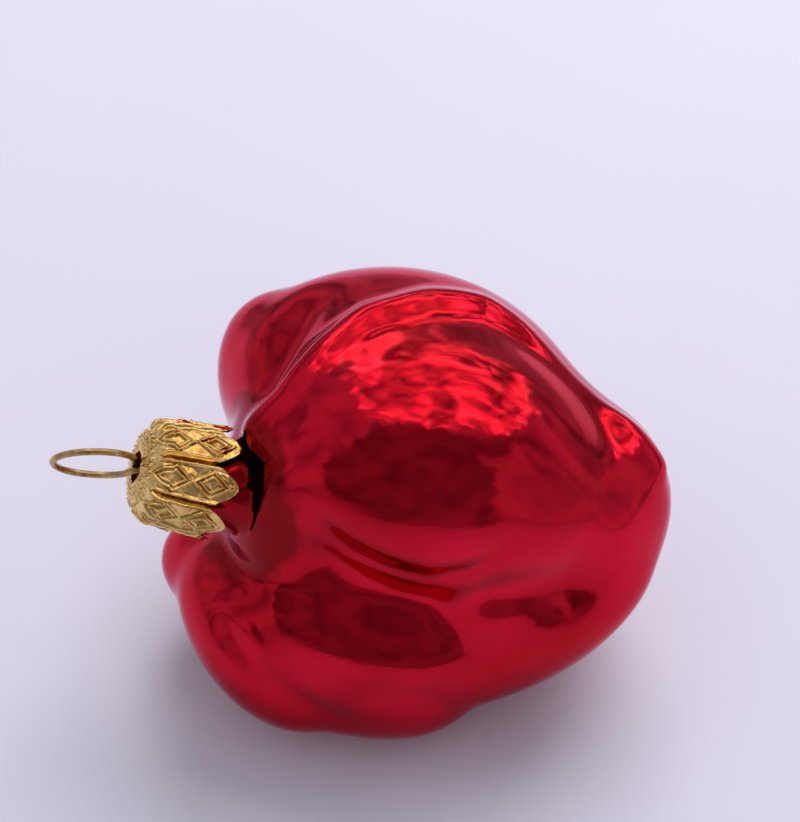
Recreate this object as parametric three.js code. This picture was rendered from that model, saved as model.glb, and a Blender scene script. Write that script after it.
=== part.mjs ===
// Blown-glass pepper ornament with a stamped crown cap and a wire hanger.
// Millimetres, +Z up. The ornament lies on its side on three of its lobes.
//
// Each piece is modelled in its hanging pose first, with the neck's axis along +Z and the
// centre of the fruit at the origin. The whole group is then turned to lie on its side.

import * as THREE from 'three';

// ---------------------------------------------------------------- driving dimensions

// The fruit: a smooth union of lobes. Each lobe is an ellipsoid stretched along a line.
const LOBES = [
  { name: 'heart', from: [-4, 1, 5], to: [3, 3.5, -8], radius: 20.5 },
  { name: 'neck_shoulder', from: [0, 0, 15.5], to: [3, -1, 8], radius: 13.5 },
  { name: 'front', from: [2.5, 8, 10.5], to: [6, 9.5, 1], radius: 18.8 },
  { name: 'crown', from: [-9, 16.5, 12.5], to: [-4.5, 18.5, 0.5], radius: 16.7 },
  { name: 'far_bump', from: [-15, 17, 20], to: [-13, 9, 14.5], radius: 8.5 },
  { name: 'shoulder_to_tip', from: [0, 16, -11.5], to: [5.5, 9.5, -19.5], radius: 10 },
  { name: 'tip', from: [8, 9, -18.5], to: [8, 4, -17.5], radius: 10 },
  { name: 'lower_front', from: [-0.5, -14.5, 13], to: [3, -14.5, -2.5], radius: 9.8 },
  { name: 'lower_left', from: [-6, -16.5, 18], to: [-6, -22, 13], radius: 8.6 },
  { name: 'bottom', from: [-10, -15.5, 17], to: [-3.5, -20, 0.5], radius: 12 },
  { name: 'bottom_to_tip', from: [1.5, -15, -8], to: [8, -4, -19.5], radius: 9.4 },
  { name: 'far_shoulder', from: [-19, -10.5, 21], to: [-14, -7.5, 12], radius: 9 },
  { name: 'back', from: [-23, -4, 9.5], to: [-20, 1, 2.5], radius: 13.4 },
  { name: 'back_to_tip', from: [-16, 0.5, -8.5], to: [-10, 3.5, -18.5], radius: 13.6 },
];
const LOBE_SHARPNESS = 12;
const LOBE_FLANK_SLOPE = 1.6;
const LOBE_EDGE_SOFTNESS = 0.01;
const TYPICAL_RADIUS = 30;

// Creases and dimples pressed into the lobes. A negative depth is a raised line.
const CREASES = [
  { name: 'neck_dish', path: [[0, 0, 30], [0, 0, 26]], width: 9, depth: 1.2 },
  {
    name: 'long_hollow',
    path: [[12, -8, 19], [13, -10, 14], [13.5, -11.5, 8.5], [15, -12, 3]],
    width: 6,
    depth: 4.4,
  },
  {
    name: 'eye_dimple',
    path: [[19.5, -7, -6], [20.5, -3.5, -15]],
    width: 5.5,
    depth: 3.2,
  },
  {
    name: 'front_underline',
    path: [
      [15.5, -1.5, 24.5], [15.5, -5, 17.5], [16.5, -6, 12], [18.5, -6.5, 5.5], [21, -4, 0],
      [26, 2, -4],
    ],
    width: 1.8,
    depth: 1.1,
  },
  {
    name: 'lower_crease',
    path: [[0, -19.5, 26.5], [1.5, -23.5, 21], [2, -27, 15], [3, -29, 8]],
    width: 2.5,
    depth: 1,
  },
  {
    name: 'bump_crease',
    path: [[-1.5, 26, 24], [0.5, 21.5, 26], [3.5, 15, 28.5]],
    width: 4,
    depth: 1.6,
  },
  {
    name: 'mould_ridge',
    path: [
      [5.5, 8.5, 29], [7.5, 13.5, 28], [8, 18.5, 25], [7.5, 23, 21], [6.5, 26, 17],
      [7, 28.5, 13.5], [6.5, 30.5, 9], [6.5, 31.5, 1], [8.5, 29, -4], [12, 24, -11.5],
      [14, 19.5, -18], [14.5, 14.5, -23.5],
    ],
    width: 2.6,
    depth: -1.4,
  },
];

// The glass wall and the open neck.
const GLASS_WALL = 0.9;
const NECK_RADIUS = 4.6;
const NECK_BORE_RADIUS = 3.8;
const NECK_LIP_Z = 38.5;
const NECK_FOOT_ANGLE = THREE.MathUtils.degToRad(15);
const NECK_FLARE = 2.5;
const GLASS_SEGMENTS = 56;
const OUTER_ROWS = 34;
const INNER_ROWS = 14;
const NECK_ROWS = 4;

// The crown cap: a domed top with a hole, and petals that close around the neck.
const PETAL_COUNT = 8;
const CAP_TOP_Z = 41.8;
const CAP_TIP_Z = 29.7;
const CAP_THICKNESS = 0.4;
const CAP_HOLE_RADIUS = 2.3;
const CAP_SHOULDER_RADIUS = 6.8;
const CAP_TIP_RADIUS = 7.5;
const CAP_DOME_DROP = 3.2;
const PETAL_POINT_LENGTH = 3.6;
const PETAL_POINT_ROUNDING = 1.7;
const PETAL_CROWN = 0.35;
const SEGMENTS_PER_PETAL = 8;
const DOME_ROWS = 5;
const PETAL_ROWS = 6;

// The hanger: one wire bent into a ring, with two legs through the cap's hole.
const WIRE_RADIUS = 0.45;
const RING_RADIUS = 5.2;
const RING_CENTRE_Z = 47.4;
const RING_SAG = 0.6;
const RING_TURN = THREE.MathUtils.degToRad(18);
const STRAND_OFFSET = 0.55;
const LEG_SPREAD = 2.9;
const LEG_KNEE = 2.2;
const LEG_END_Z = 27;
const LEG_TOP_Z = 35.5;
const LEG_KNEE_LENGTH = 3;
const RING_GAP_ANGLE = THREE.MathUtils.degToRad(56);
const RING_POINTS = 14;
const WIRE_STEPS = 78;
const WIRE_SIDES = 8;

// The lying pose: a roll about the neck, a lean to the side and a turn on the table.
const ROLL = THREE.MathUtils.degToRad(-47.6);
const LEAN = THREE.MathUtils.degToRad(-66.8);
const TURN = THREE.MathUtils.degToRad(6.2);

// ---------------------------------------------------------------- materials

function redGlass() {
  return new THREE.MeshStandardMaterial({ color: 0xa30f1e, roughness: 0.08, metalness: 0.5 });
}

function stampedGold() {
  return new THREE.MeshStandardMaterial({ color: 0xd0a050, roughness: 0.3, metalness: 1 });
}

function brassWire() {
  return new THREE.MeshStandardMaterial({ color: 0xa07838, roughness: 0.3, metalness: 1 });
}

// ---------------------------------------------------------------- the fruit's surface

function toVector(triple) {
  return new THREE.Vector3(...triple);
}

// How far a lobe reaches along a direction from the fruit's centre. Beside the lobe the
// reach falls away at a steady slope, so that neighbours blend without a step.
function lobeReach(direction, lobe) {
  const from = toVector(lobe.from);
  const to = toVector(lobe.to);
  const centre = from.clone().add(to).multiplyScalar(0.5);
  const halfLine = from.distanceTo(to) / 2;
  const axis = to.sub(from).normalize();
  const acrossScale = 1 / lobe.radius ** 2;
  const alongScale = 1 / (halfLine + lobe.radius) ** 2;
  const dirAlong = direction.dot(axis);
  const centreAlong = centre.dot(axis);
  const dirDir = (1 - dirAlong ** 2) * acrossScale + dirAlong ** 2 * alongScale;
  const dirCentre = (direction.dot(centre) - dirAlong * centreAlong) * acrossScale
    + dirAlong * centreAlong * alongScale;
  const centreCentre = (centre.lengthSq() - centreAlong ** 2) * acrossScale
    + centreAlong ** 2 * alongScale - 1;
  const nearness = (dirCentre ** 2 - dirDir * centreCentre) * lobe.radius ** 2;
  const inside = 0.5 * (nearness + Math.hypot(nearness, Math.sqrt(LOBE_EDGE_SOFTNESS)));
  const missRatio = Math.sqrt(Math.max(1 - nearness, 0));
  const flankLoss = LOBE_FLANK_SLOPE * lobe.radius * Math.max(missRatio - 1, 0);
  const reach = (dirCentre + Math.sqrt(inside) / lobe.radius) / dirDir - flankLoss;
  return Math.max(reach, 0);
}

function distanceToPath(point, path) {
  const nearest = new THREE.Vector3();
  let distance = Infinity;
  for (let i = 1; i < path.length; i += 1) {
    const segment = new THREE.Line3(toVector(path[i - 1]), toVector(path[i]));
    segment.closestPointToPoint(point, true, nearest);
    distance = Math.min(distance, nearest.distanceTo(point));
  }
  return distance;
}

function fruitRadius(direction) {
  let sum = 0;
  for (const lobe of LOBES) {
    sum += (lobeReach(direction, lobe) / TYPICAL_RADIUS) ** LOBE_SHARPNESS;
  }
  const lobed = TYPICAL_RADIUS * sum ** (1 / LOBE_SHARPNESS);
  const point = direction.clone().multiplyScalar(lobed);
  let radius = lobed;
  for (const crease of CREASES) {
    const distance = distanceToPath(point, crease.path);
    radius -= crease.depth * Math.exp(-((distance / crease.width) ** 2));
  }
  return radius;
}

function fruitPoint(angleFromNeck, turn, inset) {
  const across = Math.sin(angleFromNeck);
  const direction = new THREE.Vector3(
    across * Math.cos(turn),
    across * Math.sin(turn),
    Math.cos(angleFromNeck),
  );
  return direction.multiplyScalar(fruitRadius(direction) - inset);
}

// ---------------------------------------------------------------- meshes from rings

// Closes a stack of rings into one mesh. With no end points, the last ring meets the first.
function meshFromRings(rings, endPoints) {
  const count = rings[0].length;
  const points = rings.flat();
  const faces = [];
  const bands = endPoints ? rings.length - 1 : rings.length;
  for (let band = 0; band < bands; band += 1) {
    const upper = band * count;
    const lower = ((band + 1) % rings.length) * count;
    for (let i = 0; i < count; i += 1) {
      const next = (i + 1) % count;
      faces.push(upper + i, lower + i, lower + next);
      faces.push(upper + i, lower + next, upper + next);
    }
  }
  if (endPoints) {
    const lastRing = (rings.length - 1) * count;
    const first = points.push(endPoints.first) - 1;
    const last = points.push(endPoints.last) - 1;
    for (let i = 0; i < count; i += 1) {
      const next = (i + 1) % count;
      faces.push(first, i, next);
      faces.push(last, lastRing + next, lastRing + i);
    }
  }
  const geometry = new THREE.BufferGeometry().setFromPoints(points);
  geometry.setIndex(faces);
  geometry.computeVertexNormals();
  return geometry;
}

function ringOf(count, pointAt) {
  return Array.from({ length: count }, (_, i) => pointAt((i / count) * 2 * Math.PI));
}

// ---------------------------------------------------------------- glass body

// One wall of the neck: from the lip down to the fruit's first ring, flaring as it meets it.
function neckRings(neckRadius, inset) {
  const rings = [];
  for (let row = 0; row < NECK_ROWS; row += 1) {
    const down = row / NECK_ROWS;
    rings.push(ringOf(GLASS_SEGMENTS, (turn) => {
      const foot = fruitPoint(NECK_FOOT_ANGLE, turn, inset);
      const footRadius = Math.hypot(foot.x, foot.y);
      const radius = THREE.MathUtils.lerp(neckRadius, footRadius, down ** NECK_FLARE);
      const z = THREE.MathUtils.lerp(NECK_LIP_Z, foot.z, Math.sin((down * Math.PI) / 2));
      return new THREE.Vector3(radius * Math.cos(turn), radius * Math.sin(turn), z);
    }));
  }
  return rings;
}

function fruitRings(rowCount, inset) {
  const rings = [];
  for (let row = 0; row < rowCount; row += 1) {
    const angle = THREE.MathUtils.lerp(NECK_FOOT_ANGLE, Math.PI, row / rowCount);
    rings.push(ringOf(GLASS_SEGMENTS, (turn) => fruitPoint(angle, turn, inset)));
  }
  return rings;
}

function glassBody() {
  const outside = [...neckRings(NECK_RADIUS, 0), ...fruitRings(OUTER_ROWS, 0)];
  const inside = [...neckRings(NECK_BORE_RADIUS, GLASS_WALL), ...fruitRings(INNER_ROWS, GLASS_WALL)];
  const endPoints = {
    first: fruitPoint(Math.PI, 0, GLASS_WALL),
    last: fruitPoint(Math.PI, 0, 0),
  };
  const geometry = meshFromRings([...inside.reverse(), ...outside], endPoints);
  const mesh = new THREE.Mesh(geometry, redGlass());
  mesh.name = 'glass_body';
  return mesh;
}

// ---------------------------------------------------------------- crown cap

// 0 in the middle of a petal, 1 at the slit between two petals.
function slitShare(turn) {
  const petals = (turn * PETAL_COUNT) / (2 * Math.PI);
  return 2 * Math.abs(petals - Math.round(petals));
}

function domePoint(turn, share, inset) {
  const sweep = (share * Math.PI) / 2;
  const radius = THREE.MathUtils.lerp(CAP_HOLE_RADIUS, CAP_SHOULDER_RADIUS, Math.sin(sweep));
  const z = CAP_TOP_Z - CAP_DOME_DROP * (1 - Math.cos(sweep));
  const depth = inset * Math.sin(sweep);
  const drop = inset * Math.cos(sweep);
  const inner = radius - depth;
  return new THREE.Vector3(inner * Math.cos(turn), inner * Math.sin(turn), z - drop);
}

function petalPoint(turn, share, inset) {
  const shoulderZ = CAP_TOP_Z - CAP_DOME_DROP;
  const slit = slitShare(turn);
  const edgeZ = CAP_TIP_Z + PETAL_POINT_LENGTH * slit ** PETAL_POINT_ROUNDING;
  const z = THREE.MathUtils.lerp(shoulderZ, edgeZ, share);
  const down = (shoulderZ - z) / (shoulderZ - CAP_TIP_Z);
  const crown = PETAL_CROWN * down * (1 - slit ** 2);
  const radius = THREE.MathUtils.lerp(CAP_SHOULDER_RADIUS, CAP_TIP_RADIUS, down) + crown - inset;
  return new THREE.Vector3(radius * Math.cos(turn), radius * Math.sin(turn), z);
}

function capRings(inset) {
  const count = PETAL_COUNT * SEGMENTS_PER_PETAL;
  const rings = [];
  for (let row = 0; row < DOME_ROWS; row += 1) {
    rings.push(ringOf(count, (turn) => domePoint(turn, row / DOME_ROWS, inset)));
  }
  for (let row = 0; row <= PETAL_ROWS; row += 1) {
    rings.push(ringOf(count, (turn) => petalPoint(turn, row / PETAL_ROWS, inset)));
  }
  return rings;
}

function crownCap() {
  const geometry = meshFromRings([...capRings(0), ...capRings(CAP_THICKNESS).reverse()], null);
  const mesh = new THREE.Mesh(geometry, stampedGold());
  mesh.name = 'crown_cap';
  return mesh;
}

// ---------------------------------------------------------------- hanger wire

// One leg of the wire, from its end inside the glass up to the crossing in the cap's hole.
function legPoints(side) {
  const off = -side * STRAND_OFFSET;
  return [
    new THREE.Vector3(side * LEG_SPREAD, off, LEG_END_Z),
    new THREE.Vector3(side * LEG_SPREAD, off, LEG_TOP_Z - LEG_KNEE_LENGTH),
    new THREE.Vector3(side * LEG_KNEE, off, LEG_TOP_Z),
    new THREE.Vector3(0, off, CAP_TOP_Z),
  ];
}

// The ring is open at its foot by the gap angle and sags a little out of its own plane.
function ringPoints() {
  const points = [];
  const start = -Math.PI / 2 + RING_GAP_ANGLE / 2;
  for (let i = 0; i <= RING_POINTS; i += 1) {
    const share = i / RING_POINTS;
    const angle = start + share * (2 * Math.PI - RING_GAP_ANGLE);
    const across = RING_RADIUS * Math.cos(angle);
    const z = RING_CENTRE_Z + RING_RADIUS * Math.sin(angle);
    const sag = (RING_SAG * (z - CAP_TOP_Z)) / (RING_CENTRE_Z - CAP_TOP_Z);
    const off = THREE.MathUtils.lerp(STRAND_OFFSET, -STRAND_OFFSET, share);
    points.push(new THREE.Vector3(across, off - sag, z));
  }
  return points;
}

function wireRoute() {
  const points = [...legPoints(-1), ...ringPoints(), ...legPoints(1).reverse()];
  return new THREE.CatmullRomCurve3(points, false, 'centripetal');
}

function wireSection() {
  const corners = [];
  for (let i = 0; i < WIRE_SIDES; i += 1) {
    const angle = (i / WIRE_SIDES) * 2 * Math.PI;
    corners.push(new THREE.Vector2(WIRE_RADIUS * Math.cos(angle), WIRE_RADIUS * Math.sin(angle)));
  }
  return new THREE.Shape(corners);
}

function hangerWire() {
  const geometry = new THREE.ExtrudeGeometry(wireSection(), {
    steps: WIRE_STEPS,
    extrudePath: wireRoute(),
  });
  const mesh = new THREE.Mesh(geometry, brassWire());
  mesh.name = 'hanger_wire';
  mesh.rotation.z = RING_TURN;
  return mesh;
}

// ---------------------------------------------------------------- assembly

function hangingOrnament() {
  const group = new THREE.Group();
  group.add(glassBody(), crownCap(), hangerWire());
  return group;
}

// Lays the ornament down, with the middle of its footprint's box at the origin.
function lyingOrnament() {
  const ornament = hangingOrnament();
  ornament.rotation.set(0, LEAN, TURN, 'ZYX');
  ornament.children.forEach((piece) => {
    piece.rotation.z += ROLL;
  });
  ornament.updateMatrixWorld(true);
  const box = new THREE.Box3().setFromObject(ornament, true);
  const middle = box.getCenter(new THREE.Vector3());
  ornament.position.set(-middle.x, -middle.y, -box.min.z);
  return ornament;
}

const ornament = new THREE.Group();
ornament.add(lyingOrnament());
ornament.updateMatrixWorld(true);

export default ornament;
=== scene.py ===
"""Blown-glass pepper ornament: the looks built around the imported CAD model.

Lengths are in metres. The shapes are worked out in the ornament's hanging pose, with the
neck along +Z and the fruit's centre at the origin, and are then laid on the side.
"""

import math

import bpy
import numpy as np
from mathutils import Matrix, Vector, noise


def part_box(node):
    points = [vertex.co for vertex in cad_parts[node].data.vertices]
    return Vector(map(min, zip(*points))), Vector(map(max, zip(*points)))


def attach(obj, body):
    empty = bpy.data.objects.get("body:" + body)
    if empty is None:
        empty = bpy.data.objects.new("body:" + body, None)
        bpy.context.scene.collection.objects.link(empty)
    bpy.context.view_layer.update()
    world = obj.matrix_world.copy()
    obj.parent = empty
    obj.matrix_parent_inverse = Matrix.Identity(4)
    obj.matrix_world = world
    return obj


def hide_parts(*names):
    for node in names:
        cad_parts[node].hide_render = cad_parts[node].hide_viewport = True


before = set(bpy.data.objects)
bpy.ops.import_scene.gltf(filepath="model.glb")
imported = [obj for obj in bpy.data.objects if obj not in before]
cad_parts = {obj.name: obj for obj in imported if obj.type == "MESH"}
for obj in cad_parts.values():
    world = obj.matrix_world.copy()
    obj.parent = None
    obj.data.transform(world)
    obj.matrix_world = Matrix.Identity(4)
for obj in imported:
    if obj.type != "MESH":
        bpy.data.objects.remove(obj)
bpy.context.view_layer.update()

MM = 0.001

# ------------------------------------------------------------------ driving dimensions

# Lobes of the fruit: the two ends of the line each one is stretched along, and its radius.
LOBES_MM = {
    "heart": ((-4, 1, 5), (3, 3.5, -8), 20.5),
    "neck_shoulder": ((0, 0, 15.5), (3, -1, 8), 13.5),
    "front": ((2.5, 8, 10.5), (6, 9.5, 1), 18.8),
    "crown": ((-9, 16.5, 12.5), (-4.5, 18.5, 0.5), 16.7),
    "far_bump": ((-15, 17, 20), (-13, 9, 14.5), 8.5),
    "shoulder_to_tip": ((0, 16, -11.5), (5.5, 9.5, -19.5), 10),
    "tip": ((8, 9, -18.5), (8, 4, -17.5), 10),
    "lower_front": ((-0.5, -14.5, 13), (3, -14.5, -2.5), 9.8),
    "lower_left": ((-6, -16.5, 18), (-6, -22, 13), 8.6),
    "bottom": ((-10, -15.5, 17), (-3.5, -20, 0.5), 12),
    "bottom_to_tip": ((1.5, -15, -8), (8, -4, -19.5), 9.4),
    "far_shoulder": ((-19, -10.5, 21), (-14, -7.5, 12), 9),
    "back": ((-23, -4, 9.5), (-20, 1, 2.5), 13.4),
    "back_to_tip": ((-16, 0.5, -8.5), (-10, 3.5, -18.5), 13.6),
}
LOBE_SHARPNESS = 12
LOBE_FLANK_SLOPE = 1.6
LOBE_EDGE_SOFTNESS = 0.01
TYPICAL_RADIUS_MM = 30

# Creases and dimples: path, width and depth. A negative depth is a raised line.
CREASES_MM = {
    "neck_dish": (((0, 0, 30), (0, 0, 26)), 9, 1.2),
    "long_hollow": (((12, -8, 19), (13, -10, 14), (13.5, -11.5, 8.5), (15, -12, 3)), 6, 4.4),
    "eye_dimple": (((19.5, -7, -6), (20.5, -3.5, -15)), 5.5, 3.2),
    "front_underline": (
        (
            (15.5, -1.5, 24.5), (15.5, -5, 17.5), (16.5, -6, 12), (18.5, -6.5, 5.5), (21, -4, 0),
            (26, 2, -4),
        ),
        1.8,
        1.1,
    ),
    "lower_crease": (((0, -19.5, 26.5), (1.5, -23.5, 21), (2, -27, 15), (3, -29, 8)), 2.5, 1),
    "bump_crease": (((-1.5, 26, 24), (0.5, 21.5, 26), (3.5, 15, 28.5)), 4, 1.6),
    "mould_ridge": (
        (
            (5.5, 8.5, 29), (7.5, 13.5, 28), (8, 18.5, 25), (7.5, 23, 21), (6.5, 26, 17),
            (7, 28.5, 13.5), (6.5, 30.5, 9), (6.5, 31.5, 1), (8.5, 29, -4), (12, 24, -11.5),
            (14, 19.5, -18), (14.5, 14.5, -23.5),
        ),
        2.6,
        -1.4,
    ),
}

GLASS_WALL_MM = 0.9
NECK_RADIUS_MM = 4.6
NECK_BORE_RADIUS_MM = 3.8
NECK_LIP_Z_MM = 38.5
NECK_FOOT_ANGLE = math.radians(15)
NECK_FLARE = 2.5
# A painted dark patch around the neck, standing in for the cap's dark reflection and the shade under
# the petals: its centre, radius and ragged edge.
PAINTED_NECK_SHADE_Z_MM = 28
PAINTED_NECK_SHADE_RADIUS_MM = 14.5
PAINTED_NECK_SHADE_RAG_MM = 4
PAINTED_NECK_SHADE_EDGE_MM = (-0.5, 0.9)
GLASS_SEGMENTS = 320
OUTER_ROWS = 215
INNER_ROWS = 40
NECK_ROWS = 14

PETAL_COUNT = 8
CAP_TOP_Z_MM = 41.8
CAP_TIP_Z_MM = 29.7
CAP_THICKNESS_MM = 0.35
CAP_HOLE_RADIUS_MM = 2.3
CAP_SHOULDER_RADIUS_MM = 6.8
CAP_TIP_RADIUS_MM = 7.5
CAP_DOME_DROP_MM = 3.2
BEAD_RING_RADIUS_MM = 5.0
BEAD_COUNT = 36
BEAD_HEIGHT_MM = 0.32
BEAD_WIDTH_MM = 0.26
# Stamped diamonds down each petal: distance from the beads, half length and half width.
DIAMONDS_MM = ((3.3, 2.5, 1.75), (8.3, 2.55, 1.8))
PETAL_POINT_LENGTH_MM = 3.6
PETAL_POINT_ROUNDING = 1.7
SEGMENTS_PER_PETAL = 56
CAP_ROWS = 150
CAP_DOME_SHARE = 0.4
CAP_INNER_ROWS = 24

WIRE_RADIUS_MM = 0.45
RING_RADIUS_MM = 5.2
RING_CENTRE_Z_MM = 47.4
RING_SAG_MM = 0.6
RING_GAP_ANGLE = math.radians(56)
RING_POINTS = 14
RING_TURN = math.radians(18)
STRAND_OFFSET_MM = 0.55
LEG_SPREAD_MM = 2.9
LEG_KNEE_MM = 2.2
LEG_TOP_Z_MM = 35.5
LEG_KNEE_LENGTH_MM = 3
LEG_END_Z_MM = 27
WIRE_STEPS = 420
WIRE_SIDES = 20

ROLL = math.radians(-47.6)
LEAN = math.radians(-66.8)
TURN = math.radians(6.2)

CAMERA_ELEVATION = math.radians(46)
CAMERA_DISTANCE = 0.32
LENS_MM = 106.6
SENSOR_MM = 36.0
LOOK_AT = Vector((0.00426, 0.00320, 0.03964))


# ------------------------------------------------------------------ the fruit's surface

def lobe_reach(directions, start, end, radius):
    """How far a lobe reaches from the fruit's centre along each direction."""
    start = np.array(start, float)
    end = np.array(end, float)
    centre = (start + end) / 2
    half_line = np.linalg.norm(end - start) / 2
    axis = (end - start) / (2 * half_line)
    across_scale = 1 / radius**2
    along_scale = 1 / (half_line + radius) ** 2
    dir_along = directions @ axis
    centre_along = centre @ axis
    dir_dir = (1 - dir_along**2) * across_scale + dir_along**2 * along_scale
    dir_centre = (directions @ centre - dir_along * centre_along) * across_scale
    dir_centre += dir_along * centre_along * along_scale
    centre_centre = (centre @ centre - centre_along**2) * across_scale
    centre_centre = centre_centre + centre_along**2 * along_scale - 1
    nearness = (dir_centre**2 - dir_dir * centre_centre) * radius**2
    inside = 0.5 * (nearness + np.sqrt(nearness**2 + LOBE_EDGE_SOFTNESS))
    miss_ratio = np.sqrt(np.maximum(1 - nearness, 0))
    flank_loss = LOBE_FLANK_SLOPE * radius * np.maximum(miss_ratio - 1, 0)
    reach = (dir_centre + np.sqrt(inside) / radius) / dir_dir - flank_loss
    return np.maximum(reach, 0)


def distance_to_path(points, path):
    path = np.array(path, float)
    nearest = np.full(len(points), np.inf)
    for start, end in zip(path[:-1], path[1:]):
        line = end - start
        along = np.clip((points - start) @ line / (line @ line), 0, 1)
        gap = np.linalg.norm(points - start - along[:, None] * line, axis=1)
        nearest = np.minimum(nearest, gap)
    return nearest


def fruit_radius(directions):
    total = 0
    for start, end, radius in LOBES_MM.values():
        reach = lobe_reach(directions, start, end, radius)
        total = total + (reach / TYPICAL_RADIUS_MM) ** LOBE_SHARPNESS
    lobed = TYPICAL_RADIUS_MM * total ** (1 / LOBE_SHARPNESS)
    points = directions * lobed[:, None]
    radius = lobed.copy()
    for path, width, depth in CREASES_MM.values():
        radius -= depth * np.exp(-((distance_to_path(points, path) / width) ** 2))
    return radius


def fruit_directions(angle_from_neck, turns):
    across = math.sin(angle_from_neck)
    up = np.full(len(turns), math.cos(angle_from_neck))
    return np.stack([across * np.cos(turns), across * np.sin(turns), up], 1)


# ------------------------------------------------------------------ meshes from rings

def lay_down():
    """The turn that takes the hanging pose to the lying one."""
    turn = Matrix.Rotation(TURN, 3, "Z")
    lean = Matrix.Rotation(LEAN, 3, "Y")
    return turn @ lean @ Matrix.Rotation(ROLL, 3, "Z")


def ring_mesh(name, rings, end_points=None):
    """A closed mesh through a stack of rings, in millimetres in the hanging pose.

    With no end points, the last ring is joined to the first.
    """
    count = len(rings[0])
    points = np.concatenate(rings)
    bands = len(rings) - 1 if end_points else len(rings)
    column = np.arange(count)
    after = (column + 1) % count
    faces = []
    for band in range(bands):
        upper = band * count
        lower = (band + 1) % len(rings) * count
        faces.append(np.stack([upper + column, lower + column, lower + after, upper + after], 1))
    faces = np.concatenate(faces).tolist()
    if end_points:
        first = len(points)
        last = first + 1
        points = np.concatenate([points, np.array(end_points)])
        last_ring = (len(rings) - 1) * count
        faces += [(first, int(i), int(j)) for i, j in zip(column, after)]
        faces += [(last, last_ring + int(j), last_ring + int(i)) for i, j in zip(column, after)]
    turned = points @ np.array(lay_down()).T * MM
    mesh = bpy.data.meshes.new(name)
    mesh.from_pydata(turned.tolist(), [], faces)
    mesh.polygons.foreach_set("use_smooth", [True] * len(mesh.polygons))
    mesh.update()
    piece = bpy.data.objects.new(name, mesh)
    bpy.context.scene.collection.objects.link(piece)
    return piece


def full_turn(count):
    return np.arange(count) * 2 * math.pi / count


# ------------------------------------------------------------------ glass body

def fruit_ring(angle, turns, inset):
    directions = fruit_directions(angle, turns)
    return directions * (fruit_radius(directions) - inset)[:, None]


def neck_rings(neck_radius, inset, turns):
    foot = fruit_ring(NECK_FOOT_ANGLE, turns, inset)
    foot_radius = np.hypot(foot[:, 0], foot[:, 1])
    rings = []
    for row in range(NECK_ROWS):
        down = row / NECK_ROWS
        radius = neck_radius + (foot_radius - neck_radius) * down**NECK_FLARE
        z = NECK_LIP_Z_MM + (foot[:, 2] - NECK_LIP_Z_MM) * math.sin(down * math.pi / 2)
        rings.append(np.stack([radius * np.cos(turns), radius * np.sin(turns), z], 1))
    return rings


def wall_rings(row_count, inset, neck_radius, turns):
    angles = np.linspace(NECK_FOOT_ANGLE, math.pi, row_count, endpoint=False)
    return neck_rings(neck_radius, inset, turns) + [fruit_ring(a, turns, inset) for a in angles]


def glass_body():
    turns = full_turn(GLASS_SEGMENTS)
    outside = wall_rings(OUTER_ROWS, 0, NECK_RADIUS_MM, turns)
    inside = wall_rings(INNER_ROWS, GLASS_WALL_MM, NECK_BORE_RADIUS_MM, turns)
    far_pole = fruit_radius(np.array([[0.0, 0.0, -1.0]]))[0]
    end_points = [(0, 0, -(far_pole - GLASS_WALL_MM)), (0, 0, -far_pole)]
    return ring_mesh("pepper_glass", inside[::-1] + outside, end_points)


# ------------------------------------------------------------------ crown cap

def cap_profile(row_share, edge_z):
    """Radius and height down the cap, from the hole's edge to a petal's edge."""
    shoulder_z = CAP_TOP_Z_MM - CAP_DOME_DROP_MM
    on_dome = row_share < CAP_DOME_SHARE
    sweep = np.clip(row_share / CAP_DOME_SHARE, 0, 1) * math.pi / 2
    dome_radius = CAP_HOLE_RADIUS_MM + (CAP_SHOULDER_RADIUS_MM - CAP_HOLE_RADIUS_MM) * np.sin(sweep)
    dome_z = CAP_TOP_Z_MM - CAP_DOME_DROP_MM * (1 - np.cos(sweep))
    skirt = np.clip((row_share - CAP_DOME_SHARE) / (1 - CAP_DOME_SHARE), 0, 1)
    skirt_z = shoulder_z + (edge_z - shoulder_z) * skirt
    down = (shoulder_z - skirt_z) / (shoulder_z - CAP_TIP_Z_MM)
    flare = CAP_TIP_RADIUS_MM - CAP_SHOULDER_RADIUS_MM
    skirt_radius = CAP_SHOULDER_RADIUS_MM + flare * down
    return np.where(on_dome, dome_radius, skirt_radius), np.where(on_dome, dome_z, skirt_z)


def petal_across(turns):
    """-1 at one edge of a petal, 0 in its middle, 1 at its other edge."""
    share = turns * PETAL_COUNT / (2 * math.pi)
    return 2 * (share - np.round(share))


def ridge(distance, width):
    """A smooth raised line: 1 on the line, falling away over the width."""
    return np.exp(-((distance / width) ** 2))


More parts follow.
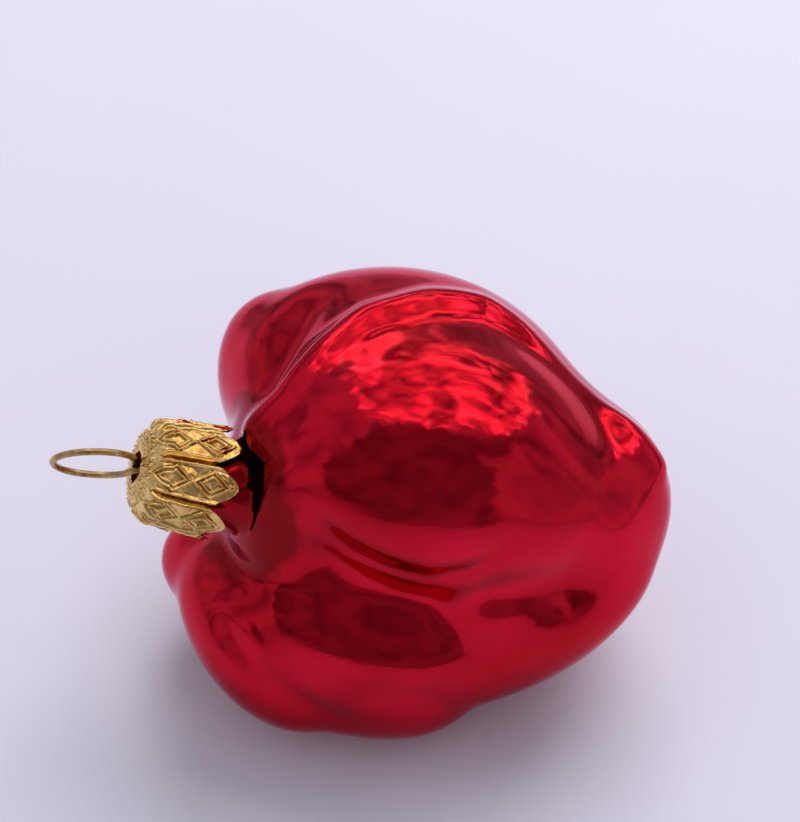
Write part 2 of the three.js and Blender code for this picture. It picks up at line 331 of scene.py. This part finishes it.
def cap_relief(turns, radius, z):
    """Height of the stamped pattern, outwards from the plain cap, in millimetres."""
    across = petal_across(turns)
    shoulder_z = CAP_TOP_Z_MM - CAP_DOME_DROP_MM
    arc_from_beads = np.maximum(radius - BEAD_RING_RADIUS_MM, 0) * (z > shoulder_z) * 1.5
    arc_from_beads = np.where(z > shoulder_z, arc_from_beads, 2.9 + (shoulder_z - z))
    across_mm = across * math.pi * radius / PETAL_COUNT
    relief = np.zeros_like(radius)
    for middle, half_length, half_width in DIAMONDS_MM:
        size = np.abs(arc_from_beads - middle) / half_length + np.abs(across_mm) / half_width
        relief += 0.34 * ridge(size - 0.95, 0.11) + 0.30 * ridge(size - 0.58, 0.10)
        relief -= 0.14 / (1 + np.exp((size - 0.5) * 30))
    past_beads = np.clip((arc_from_beads - 1.2) / 1.5, 0, 1)
    edge_gap = (1 - np.abs(across)) * math.pi * radius / PETAL_COUNT
    relief += past_beads * (0.42 * ridge(edge_gap - 0.55, 0.20) - 0.7 * ridge(edge_gap, 0.16))
    bead = np.clip(np.cos(turns * BEAD_COUNT), 0, 1) ** 0.8
    bead_band = BEAD_HEIGHT_MM * ridge(radius - BEAD_RING_RADIUS_MM, BEAD_WIDTH_MM)
    relief += bead_band * bead * (z > shoulder_z)
    inner = (radius < BEAD_RING_RADIUS_MM - 0.4) & (radius > CAP_HOLE_RADIUS_MM + 0.3)
    lattice = np.sin(turns * 16 + radius * 4) * np.sin(turns * 16 - radius * 4)
    relief += 0.10 * lattice * (inner & (z > shoulder_z))
    return relief


def cap_wrinkles(points):
    """Dents and small creases in the sheet, in millimetres."""
    heights = []
    for point in points:
        dents = noise.noise(Vector(point) * 0.55) * 0.24
        creases = noise.noise(Vector(point) * 1.4 + Vector((7, 3, 1))) * 0.10
        heights.append(dents + creases)
    return np.array(heights)


def cap_rings(row_count, inset, turns):
    across = np.abs(petal_across(turns))
    edge_z = CAP_TIP_Z_MM + PETAL_POINT_LENGTH_MM * across**PETAL_POINT_ROUNDING
    rings = []
    for share in np.linspace(0, 1, row_count):
        radius, z = cap_profile(np.full(len(turns), share), edge_z)
        ahead_radius, ahead_z = cap_profile(np.full(len(turns), share + 0.01), edge_z)
        slope = np.stack([ahead_radius - radius, ahead_z - z], 1)
        slope /= np.linalg.norm(slope, axis=1)[:, None] + 1e-9
        outward_radial = -slope[:, 1]
        outward_up = slope[:, 0]
        points = np.stack([radius * np.cos(turns), radius * np.sin(turns), z], 1)
        height = cap_relief(turns, radius, z) + cap_wrinkles(points) - inset
        radius = radius + outward_radial * height
        z = z + outward_up * height
        rings.append(np.stack([radius * np.cos(turns), radius * np.sin(turns), z], 1))
    return rings


def crown_cap():
    turns = full_turn(PETAL_COUNT * SEGMENTS_PER_PETAL)
    outside = cap_rings(CAP_ROWS, 0, turns)
    inside = cap_rings(CAP_INNER_ROWS, CAP_THICKNESS_MM, turns)
    return ring_mesh("stamped_cap", outside + inside[::-1])


# ------------------------------------------------------------------ hanger wire

def wire_points():
    """The wire's centre line, with the ring in the XZ plane."""
    leg = [
        (-LEG_SPREAD_MM, STRAND_OFFSET_MM, LEG_END_Z_MM),
        (-LEG_SPREAD_MM, STRAND_OFFSET_MM, LEG_TOP_Z_MM - LEG_KNEE_LENGTH_MM),
        (-LEG_KNEE_MM, STRAND_OFFSET_MM, LEG_TOP_Z_MM),
        (0, STRAND_OFFSET_MM, CAP_TOP_Z_MM),
    ]
    arc = []
    for i in range(RING_POINTS + 1):
        share = i / RING_POINTS
        angle = -math.pi / 2 + RING_GAP_ANGLE / 2 + share * (2 * math.pi - RING_GAP_ANGLE)
        z = RING_CENTRE_Z_MM + RING_RADIUS_MM * math.sin(angle)
        sag = RING_SAG_MM * (z - CAP_TOP_Z_MM) / (RING_CENTRE_Z_MM - CAP_TOP_Z_MM)
        off = STRAND_OFFSET_MM * (1 - 2 * share) - sag
        arc.append((RING_RADIUS_MM * math.cos(angle), off, z))
    other_leg = [(-x, -y, z) for x, y, z in reversed(leg)]
    return np.array(leg + arc + other_leg, float)


def smooth_through(points, count):
    """A centripetal Catmull-Rom curve through the points, at even steps along it."""
    ends = np.vstack([2 * points[0] - points[1], points, 2 * points[-1] - points[-2]])
    fine = []
    for p0, p1, p2, p3 in zip(ends[:-3], ends[1:-2], ends[2:-1], ends[3:]):
        t1 = np.linalg.norm(p1 - p0) ** 0.5
        t2 = t1 + np.linalg.norm(p2 - p1) ** 0.5
        t3 = t2 + np.linalg.norm(p3 - p2) ** 0.5
        for t in np.linspace(t1, t2, 40, endpoint=False):
            a1 = (t1 - t) / t1 * p0 + t / t1 * p1
            a2 = (t2 - t) / (t2 - t1) * p1 + (t - t1) / (t2 - t1) * p2
            a3 = (t3 - t) / (t3 - t2) * p2 + (t - t2) / (t3 - t2) * p3
            b1 = (t2 - t) / t2 * a1 + t / t2 * a2
            b2 = (t3 - t) / (t3 - t1) * a2 + (t - t1) / (t3 - t1) * a3
            fine.append((t2 - t) / (t2 - t1) * b1 + (t - t1) / (t2 - t1) * b2)
    fine.append(points[-1])
    fine = np.array(fine)
    length = np.concatenate([[0], np.cumsum(np.linalg.norm(np.diff(fine, axis=0), axis=1))])
    even = np.linspace(0, length[-1], count)
    return np.stack([np.interp(even, length, fine[:, k]) for k in range(3)], 1)


def hanger_wire():
    line = smooth_through(wire_points(), WIRE_STEPS)
    turn = np.array(Matrix.Rotation(RING_TURN, 3, "Z"))
    line = line @ turn.T
    tangents = np.gradient(line, axis=0)
    tangents /= np.linalg.norm(tangents, axis=1)[:, None]
    side = turn @ np.array([0, 1.0, 0])
    rings = []
    angles = full_turn(WIRE_SIDES)
    for point, tangent in zip(line, tangents):
        first = side - (side @ tangent) * tangent
        first /= np.linalg.norm(first)
        second = np.cross(tangent, first)
        circle = np.cos(angles)[:, None] * first + np.sin(angles)[:, None] * second
        rings.append(point + WIRE_RADIUS_MM * circle)
    return ring_mesh("bent_wire", rings[::-1], [line[-1], line[0]])


# ------------------------------------------------------------------ materials

def new_material(name):
    material = bpy.data.materials.new(name)
    material.use_nodes = True
    nodes = material.node_tree.nodes
    shader = nodes["Principled BSDF"]
    return material, nodes, material.node_tree.links, shader


def add_noise(nodes, links, coords, scale, detail, distortion=0.0):
    texture = nodes.new("ShaderNodeTexNoise")
    texture.inputs["Scale"].default_value = scale
    texture.inputs["Detail"].default_value = detail
    texture.inputs["Distortion"].default_value = distortion
    links.new(coords, texture.inputs["Vector"])
    return texture.outputs["Fac"]


def add_ramp(nodes, links, factor, stops):
    ramp = nodes.new("ShaderNodeValToRGB")
    ramp.color_ramp.elements[0].position = stops[0][0]
    ramp.color_ramp.elements[0].color = (*stops[0][1], 1)
    ramp.color_ramp.elements[1].position = stops[-1][0]
    ramp.color_ramp.elements[1].color = (*stops[-1][1], 1)
    for position, colour in stops[1:-1]:
        ramp.color_ramp.elements.new(position).color = (*colour, 1)
    links.new(factor, ramp.inputs["Fac"])
    return ramp.outputs["Color"]


def add_multiply(nodes, links, first, second):
    mix = nodes.new("ShaderNodeMix")
    mix.data_type = "RGBA"
    mix.blend_type = "MULTIPLY"
    mix.inputs["Factor"].default_value = 1.0
    links.new(first, mix.inputs["A"])
    links.new(second, mix.inputs["B"])
    return mix.outputs["Result"]


def add_range(nodes, links, factor, low, high):
    mapped = nodes.new("ShaderNodeMapRange")
    mapped.inputs["To Min"].default_value = low
    mapped.inputs["To Max"].default_value = high
    links.new(factor, mapped.inputs["Value"])
    return mapped.outputs["Result"]


def add_bump(nodes, links, height, strength, distance, normal=None):
    bump = nodes.new("ShaderNodeBump")
    bump.inputs["Strength"].default_value = strength
    bump.inputs["Distance"].default_value = distance
    links.new(height, bump.inputs["Height"])
    if normal:
        links.new(normal, bump.inputs["Normal"])
    return bump.outputs["Normal"]


def object_coords(nodes):
    return nodes.new("ShaderNodeTexCoord").outputs["Object"]


def painted_neck_shade(nodes, links, coords):
    """Painted shade: a dark ragged patch around the neck, standing in for the cap's dark reflection
    and the shade under the petals.
    """
    gap = nodes.new("ShaderNodeVectorMath")
    gap.operation = "DISTANCE"
    gap.inputs[1].default_value = lay_down() @ Vector((0, 0, PAINTED_NECK_SHADE_Z_MM * MM))
    links.new(coords, gap.inputs[0])
    rag = nodes.new("ShaderNodeMath")
    rag.operation = "MULTIPLY_ADD"
    rag.inputs[1].default_value = PAINTED_NECK_SHADE_RAG_MM * MM
    links.new(add_noise(nodes, links, coords, 260, 4), rag.inputs[0])
    links.new(gap.outputs["Value"], rag.inputs[2])
    share = nodes.new("ShaderNodeMapRange")
    share.inputs["From Min"].default_value = (PAINTED_NECK_SHADE_RADIUS_MM + PAINTED_NECK_SHADE_EDGE_MM[0]) * MM
    share.inputs["From Max"].default_value = (PAINTED_NECK_SHADE_RADIUS_MM + PAINTED_NECK_SHADE_EDGE_MM[1]) * MM
    links.new(rag.outputs["Value"], share.inputs["Value"])
    return add_ramp(nodes, links, share.outputs["Result"], [(0.0, (0.5, 0.25, 0.2)), (1.0, (1, 1, 1))])


def lacquered_glass():
    material, nodes, links, shader = new_material("red_lacquered_glass")
    coords = object_coords(nodes)
    cloud = add_noise(nodes, links, coords, 60, 4, 0.6)
    red = add_ramp(nodes, links, cloud, [(0.3, (0.44, 0.001, 0.010)), (0.7, (0.66, 0.003, 0.026))])
    # The red is darkened by the painted shade around the neck.
    shaded = add_multiply(nodes, links, red, painted_neck_shade(nodes, links, coords))
    links.new(shaded, shader.inputs["Base Color"])
    shader.inputs["Metallic"].default_value = 1.0
    shader.inputs["Specular Tint"].default_value = (0.90, 0.42, 0.55, 1)
    streaks = add_noise(nodes, links, coords, 220, 3)
    links.new(add_range(nodes, links, streaks, 0.04, 0.16), shader.inputs["Roughness"])
    shader.inputs["Coat Weight"].default_value = 0.7
    shader.inputs["Coat Roughness"].default_value = 0.04
    shader.inputs["Coat IOR"].default_value = 1.2
    wave = add_noise(nodes, links, coords, 75, 2)
    waved = add_bump(nodes, links, wave, 0.5, 0.0007)
    ripple = add_noise(nodes, links, coords, 190, 2, 0.8)
    links.new(add_bump(nodes, links, ripple, 0.35, 0.00014, waved), shader.inputs["Normal"])
    return material


def stamped_gold():
    material, nodes, links, shader = new_material("stamped_gold")
    coords = object_coords(nodes)
    tarnish = add_noise(nodes, links, coords, 500, 4)
    gold = add_ramp(nodes, links, tarnish, [(0.3, (0.62, 0.36, 0.09)), (0.7, (0.98, 0.70, 0.28))])
    # Painted shade: the gold is darkened in the stamped hollows and creases, where shadow falls.
    pointiness = nodes.new("ShaderNodeNewGeometry").outputs["Pointiness"]
    painted_hollow_shade = add_ramp(nodes, links, pointiness, [(0.44, (0.28, 0.16, 0.08)), (0.50, (1, 1, 1))])
    links.new(add_multiply(nodes, links, gold, painted_hollow_shade), shader.inputs["Base Color"])
    shader.inputs["Metallic"].default_value = 1.0
    links.new(add_range(nodes, links, tarnish, 0.12, 0.26), shader.inputs["Roughness"])
    grain = add_noise(nodes, links, coords, 2500, 3)
    links.new(add_bump(nodes, links, grain, 0.3, 0.0001), shader.inputs["Normal"])
    return material


def bronze_wire():
    material, nodes, links, shader = new_material("bronze_wire")
    coords = object_coords(nodes)
    tarnish = add_noise(nodes, links, coords, 900, 4)
    links.new(add_ramp(nodes, links, tarnish, [(0.3, (0.30, 0.17, 0.06)), (0.7, (0.62, 0.43, 0.18))]),
              shader.inputs["Base Color"])
    shader.inputs["Metallic"].default_value = 1.0
    links.new(add_range(nodes, links, tarnish, 0.2, 0.4), shader.inputs["Roughness"])
    return material


def floor_paint():
    material, nodes, links, shader = new_material("pale_floor")
    coords = object_coords(nodes)
    mottle = add_noise(nodes, links, coords, 8, 2)
    links.new(add_ramp(nodes, links, mottle, [(0.3, (0.73, 0.725, 0.86)), (0.7, (0.76, 0.755, 0.88))]),
              shader.inputs["Base Color"])
    shader.inputs["Roughness"].default_value = 0.75
    return material


# ------------------------------------------------------------------ the object

def box_middle(low, high):
    return (Vector(low) + Vector(high)) / 2


def box_of(piece):
    points = np.array([v.co for v in piece.data.vertices])
    return points.min(0), points.max(0)


glass = glass_body()
cap = crown_cap()
wire = hanger_wire()
shift = box_middle(*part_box("glass_body")) - box_middle(*box_of(glass))
for piece, node, slot, material in (
    (glass, "glass_body", "red_glass", lacquered_glass()),
    (cap, "crown_cap", "gold_cap", stamped_gold()),
    (wire, "hanger_wire", "brass_wire", bronze_wire()),
):
    piece.location = shift
    piece.data.materials.append(material)
    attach(piece, "root")
    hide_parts(node)


# ------------------------------------------------------------------ floor, lights, camera

def add_floor():
    half = 1.5
    corners = [(-half, -half, 0), (half, -half, 0), (half, half, 0), (-half, half, 0)]
    mesh = bpy.data.meshes.new("floor")
    mesh.from_pydata(corners, [], [(0, 1, 2, 3)])
    floor = bpy.data.objects.new("floor", mesh)
    bpy.context.scene.collection.objects.link(floor)
    floor.data.materials.append(floor_paint())


def aim(thing, target):
    thing.rotation_euler = (target - thing.location).to_track_quat("-Z", "Y").to_euler()


def add_area(name, location, size, power, colour):
    light = bpy.data.lights.new(name, "AREA")
    light.shape = "RECTANGLE"
    light.size = size[0]
    light.size_y = size[1]
    light.energy = power
    light.color = colour
    lamp = bpy.data.objects.new(name, light)
    lamp.location = location
    lamp.visible_glossy = False
    bpy.context.scene.collection.objects.link(lamp)
    aim(lamp, LOOK_AT)


def torn_outline(width, height, count=90):
    """An oval outline with a ragged edge."""
    corners = []
    for turn in full_turn(count):
        heading = Vector((math.cos(turn), math.sin(turn), 0))
        swell = 0.35 * noise.noise(heading * 1.7)
        rag = 0.25 * noise.noise(heading * 7 + Vector((5, 2, 0)))
        reach = 1 + swell + rag
        corners.append((width / 2 * heading.x * reach, height / 2 * heading.y * reach, 0))
    return corners


def add_card(name, location, size):
    """A ragged card that only the reflections see."""
    outline = torn_outline(*size)
    mesh = bpy.data.meshes.new(name)
    mesh.from_pydata(outline, [], [tuple(range(len(outline)))])
    card = bpy.data.objects.new(name, mesh)
    card.location = location
    bpy.context.scene.collection.objects.link(card)
    aim(card, LOOK_AT)
    card.visible_camera = False
    card.visible_diffuse = False
    card.visible_shadow = False
    return card


def glow_material(name, scale, stops):
    """A cloudy glow, given as noise levels and the light they send out."""
    material, nodes, links, shader = new_material(name)
    cloud = add_noise(nodes, links, object_coords(nodes), scale, 3, 1.5)
    shader.inputs["Base Color"].default_value = (0, 0, 0, 1)
    shader.inputs["Roughness"].default_value = 1.0
    links.new(add_ramp(nodes, links, cloud, stops), shader.inputs["Emission Color"])
    shader.inputs["Emission Strength"].default_value = 3.0
    return material


def add_world():
    """A cloudy room for the reflections and the light, behind a plain pale backdrop."""
    world = bpy.data.worlds.new("room")
    world.use_nodes = True
    nodes = world.node_tree.nodes
    links = world.node_tree.links
    directions = nodes.new("ShaderNodeTexCoord").outputs["Generated"]
    cloud = add_noise(nodes, links, directions, 2.2, 5, 1.2)
    room = add_ramp(nodes, links, cloud, [
        (0.38, (0.32, 0.30, 0.36)), (0.5, (0.72, 0.71, 0.80)), (0.62, (1.0, 0.99, 1.0)),
    ])
    backdrop = nodes.new("ShaderNodeMix")
    backdrop.data_type = "RGBA"
    links.new(nodes.new("ShaderNodeLightPath").outputs["Is Camera Ray"], backdrop.inputs["Factor"])
    links.new(room, backdrop.inputs["A"])
    backdrop.inputs["B"].default_value = (1.15, 1.14, 1.35, 1)
    links.new(backdrop.outputs["Result"], nodes["Background"].inputs["Color"])
    nodes["Background"].inputs["Strength"].default_value = 0.62
    bpy.context.scene.world = world


def add_camera():
    data = bpy.data.cameras.new("camera")
    data.lens = LENS_MM
    data.sensor_width = SENSOR_MM
    data.sensor_fit = "HORIZONTAL"
    camera = bpy.data.objects.new("camera", data)
    away = Vector((0, -math.cos(CAMERA_ELEVATION), math.sin(CAMERA_ELEVATION)))
    camera.location = LOOK_AT + away * CAMERA_DISTANCE
    bpy.context.scene.collection.objects.link(camera)
    aim(camera, LOOK_AT)
    bpy.context.scene.camera = camera


add_floor()
add_world()
add_area("sky_panel", Vector((0.22, 0.50, 0.80)), (0.75, 0.6), 6.6, (1.0, 0.98, 0.98))
dark = add_card("photographer", LOOK_AT + Vector((0.0, -0.40, 0.235)), (0.92, 0.74))
dark.data.materials.append(glow_material("dark_clothes", 3, [
    (0.35, (0.05, 0.05, 0.05)), (0.65, (0.12, 0.11, 0.12)),
]))
window = add_card("window", Vector((0.20, 0.40, 0.85)), (1.8, 1.7))
window.data.materials.append(glow_material("bright_window", 3, [
    (0.36, (0.08, 0.07, 0.08)), (0.5, (0.40, 0.36, 0.32)),
    (0.60, (0.9, 0.75, 0.6)), (0.7, (1.1, 1.3, 0.9)),
]))
add_camera()
bpy.context.scene.view_settings.view_transform = "Standard"
